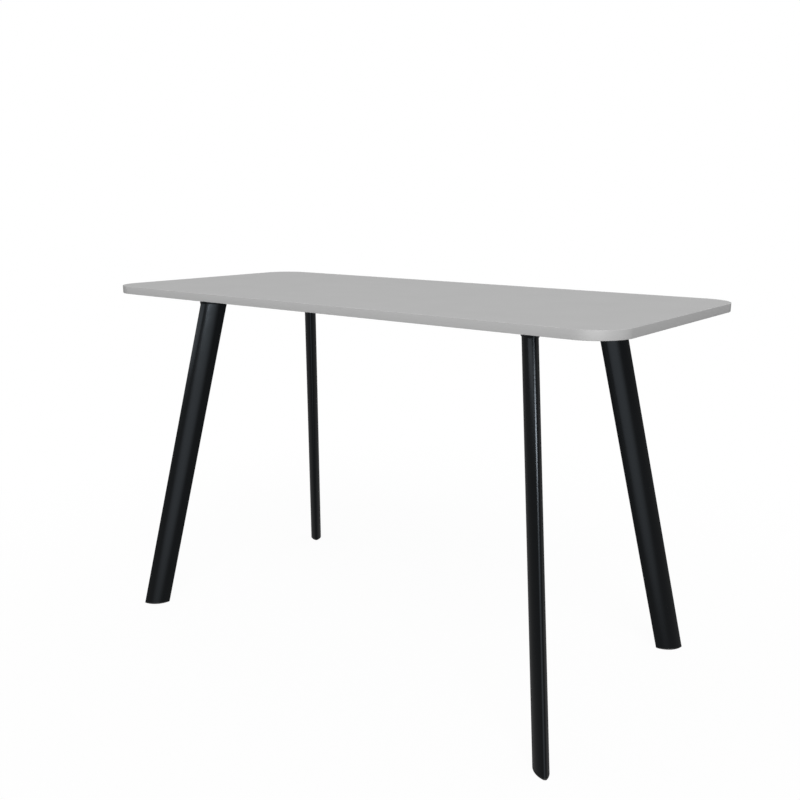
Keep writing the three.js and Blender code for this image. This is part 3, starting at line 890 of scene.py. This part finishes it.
cap_low, cap_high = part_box("rail_cap_rear_right")
cap_middle = (cap_low + cap_high) / 2
cap_depth = cap_high.y - cap_low.y - CAP_PLUG
shape = bmesh.new()
face = round_cornered_face(shape, cap_high.x - cap_low.x, cap_high.z - cap_low.z, RAIL_CORNER, 6)
thicken(shape, face, -cap_depth)
ease(shape, 0, CAP_EASE, 4)
back = min(shape.faces, key=lambda face: face.calc_center_median().z)
bmesh.ops.inset_region(shape, faces=[back], thickness=RAIL_WALL + CAP_CLEARANCE, use_even_offset=True)
draw_out(shape, back, -CAP_PLUG)
bmesh.ops.rotate(shape, cent=(0, 0, 0), matrix=Matrix.Rotation(-math.pi / 2, 3, "X"), verts=shape.verts)
bmesh.ops.translate(shape, vec=(cap_middle.x, cap_high.y, cap_middle.z), verts=shape.verts)
for corner in CORNERS:
    cap = at_corner(shape, corner)
    make_piece(f"end_cap_{corner}", cap, nylon, stands_for=[f"rail_cap_{corner}"])

# %% [markdown]
# ## Finish of the fasteners: bright zinc
# Screws, bolts and studs are zinc plated in a barrel and dipped in a clear chromate. The plate is a
# pale blue-grey metal whose fine crystals make the reflections patchy, a few millimetres at a time.
# A metal keeps the shader's own IOR, and its colour is the colour of its reflections.

# %% Zinc
ZINC_GREY = "#b9bcc0"
ZINC_WARM = "#c6c3b8"
ZINC_PATCH_MM = 3.0

zinc, tree, shader = new_finish("bright_zinc_plate", {"Metallic": 1.0})
place = add_node(tree, "TexCoord", {}, {}).outputs["Object"]
patch = add_node(tree, "TexNoise", {"Scale": per_metre(ZINC_PATCH_MM), "Detail": 5.0}, {"Vector": place})
grey = add_node(tree, "ValToRGB", {}, {"Fac": patch.outputs["Fac"]})
tint(grey, ZINC_GREY, ZINC_WARM)
sheen = add_node(tree, "MapRange", {"To Min": 0.24, "To Max": 0.42}, {"Value": patch.outputs["Fac"]})
tree.links.new(grey.outputs["Color"], shader.inputs["Base Color"])
tree.links.new(sheen.outputs["Result"], shader.inputs["Roughness"])
print("made", zinc.name)

# %% [markdown]
# ## Bolts and screws
# The bolts have domed button heads, and the screws that hold the top have flat pan heads. Both are
# driven by a hexagon key. They are turned on the same lathe as the collars, from the tip of the
# shank to the middle of the head. The rim of the head is bevelled round, and a six-sided tool cuts
# the key's socket. One is made of each, and copies go where the frame has them.

# %% Bolts
ORIGIN = Vector((0, 0, 0))
BOLT_RADIUS = 4 * MM
BOLT_LENGTH = 16 * MM
BOLT_TIP = 0.8 * MM
BOLT_HEAD_RADIUS = 7 * MM
BOLT_HEAD_HEIGHT = 4.4 * MM
BOLT_DOME = 3.2 * MM
BOLT_KEY_ACROSS = 5 * MM
BOLT_KEY_DEPTH = 2.6 * MM


def round_rim(shape, radius, z, size, steps):
    clean(shape)
    rim = [edge for edge in crisp_edges(shape, z) if edge.verts[0].co.xy.length > radius - SAME_POINT]
    bmesh.ops.bevel(shape, geom=rim, affect="EDGES", offset=size, segments=steps, profile=0.5, material=-1)


def key_socket(shape, across, low, depth):
    tool = bmesh.new()
    radius = across / math.sqrt(3)
    past = DRILL_PAST
    place = Matrix.Translation((0, 0, low + (depth - past) / 2))
    bmesh.ops.create_cone(
        tool, cap_ends=True, segments=6, radius1=radius, radius2=radius, depth=depth + past, matrix=place
    )
    return cut(shape, tool)


def place_copies(shape, names, finish, prefix):
    for node in names:
        low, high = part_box(node)
        middle = (low + high) / 2
        copy = shape.copy()
        bottom = min(point.co.z for point in copy.verts)
        bmesh.ops.translate(copy, vec=(middle.x, middle.y, low.z - bottom), verts=copy.verts)
        make_piece(prefix + node, copy, finish, stands_for=[node])


shape = bmesh.new()
section = [
    (0, BOLT_LENGTH),
    (BOLT_RADIUS - BOLT_TIP, BOLT_LENGTH),
    (BOLT_RADIUS, BOLT_LENGTH - BOLT_TIP),
    (BOLT_RADIUS, 0),
    (BOLT_HEAD_RADIUS, 0),
    (BOLT_HEAD_RADIUS, -BOLT_HEAD_HEIGHT),
    (0, -BOLT_HEAD_HEIGHT),
]
lathe(shape, section, ORIGIN)
round_rim(shape, BOLT_HEAD_RADIUS, -BOLT_HEAD_HEIGHT, BOLT_DOME, 6)
shape = key_socket(shape, BOLT_KEY_ACROSS, -BOLT_HEAD_HEIGHT, BOLT_KEY_DEPTH)
bolt_names = sorted(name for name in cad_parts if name.startswith("leg_bolt_"))
place_copies(shape, bolt_names, zinc, "button_head_")

# %% Screws
SCREW_RADIUS = 2.5 * MM
SCREW_LENGTH = 40 * MM
SCREW_POINT = 4 * MM
SCREW_HEAD_RADIUS = 5 * MM
SCREW_HEAD_HEIGHT = 3 * MM
SCREW_DOME = 1.2 * MM
SCREW_KEY_ACROSS = 4 * MM
SCREW_KEY_DEPTH = 1.8 * MM

shape = bmesh.new()
section = [
    (0, SCREW_LENGTH),
    (SCREW_RADIUS, SCREW_LENGTH - SCREW_POINT),
    (SCREW_RADIUS, 0),
    (SCREW_HEAD_RADIUS, 0),
    (SCREW_HEAD_RADIUS, -SCREW_HEAD_HEIGHT),
    (0, -SCREW_HEAD_HEIGHT),
]
lathe(shape, section, ORIGIN)
round_rim(shape, SCREW_HEAD_RADIUS, -SCREW_HEAD_HEIGHT, SCREW_DOME, 4)
shape = key_socket(shape, SCREW_KEY_ACROSS, -SCREW_HEAD_HEIGHT, SCREW_KEY_DEPTH)
place_copies(shape, SCREW_NODES, zinc, "pan_head_")

# %% [markdown]
# ## The feet
# A moulded foot closes the lower end of each leg. Its rim carries on the line of the leg down to the
# floor, a plug goes up inside the tube, and a round recess underneath holds a levelling pad. The rim
# is extruded from the leg's own oval. It is leaned over before the recess is cut, because the pad
# stands upright.

# %% Feet
FOOT_EASE = 0.8 * MM
FOOT_PLUG = 30 * MM
PLUG_INSET = 2.3 * MM
RECESS_RADIUS = 13.8 * MM
RECESS_TOP = 6.8 * MM
STUD_HOLE_RADIUS = 4.3 * MM
BUSH_LOW = 10.8 * MM
BUSH_BORE_RADIUS = 7.6 * MM

shape = bmesh.new()
rim = oval_ring(shape, 0, 0)
bmesh.ops.contextual_create(shape, geom=rim)
thicken(shape, shape.faces[:], tube_low.z)
ease(shape, 0, FOOT_EASE, 4)
ease(shape, tube_low.z, SEAM_BEVEL, 2)
upper = max(shape.faces, key=lambda face: face.calc_center_median().z)
bmesh.ops.inset_region(shape, faces=[upper], thickness=PLUG_INSET - SEAM_BEVEL, use_even_offset=True)
draw_out(shape, upper, FOOT_PLUG)
lean_over(shape)
top = tube_low.z + FOOT_PLUG + DRILL_PAST
tool = bmesh.new()
section = [
    (0, -DRILL_PAST),
    (RECESS_RADIUS, -DRILL_PAST),
    (RECESS_RADIUS, RECESS_TOP),
    (STUD_HOLE_RADIUS, RECESS_TOP),
    (STUD_HOLE_RADIUS, BUSH_LOW),
    (BUSH_BORE_RADIUS, BUSH_LOW),
    (BUSH_BORE_RADIUS, top),
    (0, top),
]
lathe(tool, section, ORIGIN)
shape = cut(shape, tool)
stand(shape)
for corner in CORNERS:
    shoe = at_corner(shape, corner)
    make_piece(f"leg_foot_{corner}", shoe, nylon, stands_for=[f"foot_cap_{corner}"])
    refinish(f"glide_bush_{corner}", zinc)

# %% [markdown]
# ## The levelling pads
# Each foot has a nylon pad on a threaded stud. A hexagon key, put in from below, turns the stud, and
# the pad moves down by one pitch of the thread for each turn. The pad is turned on the lathe, with
# its lower rim rounded, so that it slides over a carpet. It has a body of its own in the frame.

# %% Pads
PAD_RADIUS = 13 * MM
PAD_ROUND = 1 * MM
PAD_FLOOR = 2.5 * MM
PAD_KEY_HOLE = 3.4 * MM

for corner in CORNERS:
    node = f"glide_pad_{corner}"
    low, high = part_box(node)
    shape = bmesh.new()
    section = [
        (PAD_KEY_HOLE, low.z),
        (PAD_RADIUS, low.z),
        (PAD_RADIUS, high.z),
        (STUD_HOLE_RADIUS, high.z),
        (STUD_HOLE_RADIUS, low.z + PAD_FLOOR),
        (PAD_KEY_HOLE, low.z + PAD_FLOOR),
    ]
    lathe(shape, section, ORIGIN, closed=True)
    round_rim(shape, PAD_RADIUS, low.z, PAD_ROUND, 4)
    round_rim(shape, PAD_RADIUS, high.z, PAD_ROUND / 2, 3)
    middle = middle_of(node)
    bmesh.ops.translate(shape, vec=(middle.x, middle.y, 0), verts=shape.verts)
    make_piece(f"levelling_pad_{corner}", shape, nylon, f"pad_{corner}", [node])

# %% [markdown]
# ## The threaded studs
# The stud is 8 mm thick with a thread of 1.25 mm pitch. The section of one turn of thread, a tooth
# with a flat crest, is spun round the axis and raised by the pitch at each turn, so that the turns
# join into one surface. The ragged ends are cut off square and closed, and a key socket goes in
# from below. A mirrored thread would turn the wrong way, so the studs are copied, not mirrored.

# %% Studs
STUD_RADIUS = 4 * MM
THREAD_PITCH = 1.25 * MM
THREAD_DEPTH = 0.7 * MM
THREAD_CREST = 0.16 * MM
THREAD_STEPS = 24
STUD_KEY_ACROSS = 4 * MM
STUD_KEY_DEPTH = 5 * MM

stud_low, stud_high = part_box("glide_stud_rear_right")
turns = math.ceil((stud_high.z - stud_low.z) / THREAD_PITCH) + 3
start = stud_low.z - 2 * THREAD_PITCH
root = STUD_RADIUS - THREAD_DEPTH
tooth = [
    (root, 0),
    (STUD_RADIUS, (THREAD_PITCH - THREAD_CREST) / 2),
    (STUD_RADIUS, (THREAD_PITCH + THREAD_CREST) / 2),
    (root, THREAD_PITCH),
]
shape = bmesh.new()
points = [shape.verts.new((radius, 0, start + rise)) for radius, rise in tooth]
edges = [shape.edges.new(pair) for pair in zip(points, points[1:])]
bmesh.ops.spin(
    shape,
    geom=points + edges,
    cent=(0, 0, 0),
    axis=(0, 0, 1),
    angle=2 * math.pi * turns,
    steps=THREAD_STEPS * turns,
    dvec=(0, 0, THREAD_PITCH / THREAD_STEPS),
)
bmesh.ops.remove_doubles(shape, verts=shape.verts, dist=SAME_POINT)
for z, way in ((stud_low.z, -1), (stud_high.z, 1)):
    everything = shape.verts[:] + shape.edges[:] + shape.faces[:]
    bmesh.ops.bisect_plane(
        shape, geom=everything, plane_co=(0, 0, z), plane_no=(0, 0, way), clear_outer=True
    )
bmesh.ops.holes_fill(shape, edges=shape.edges, sides=0)
shape = key_socket(shape, STUD_KEY_ACROSS, stud_low.z, STUD_KEY_DEPTH)
for corner in CORNERS:
    node = f"glide_stud_{corner}"
    middle = middle_of(node)
    stud = shape.copy()
    bmesh.ops.translate(stud, vec=(middle.x, middle.y, 0), verts=stud.verts)
    make_piece(f"threaded_stud_{corner}", stud, zinc, f"stud_{corner}", [node])

# %% [markdown]
# ## Sizes
# The looks mustn't change the size of the table, so the box of the finished table is printed.

# %% Compare the boxes
low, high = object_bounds()
print("visual box in metres, from", tuple(low), "to", tuple(high))
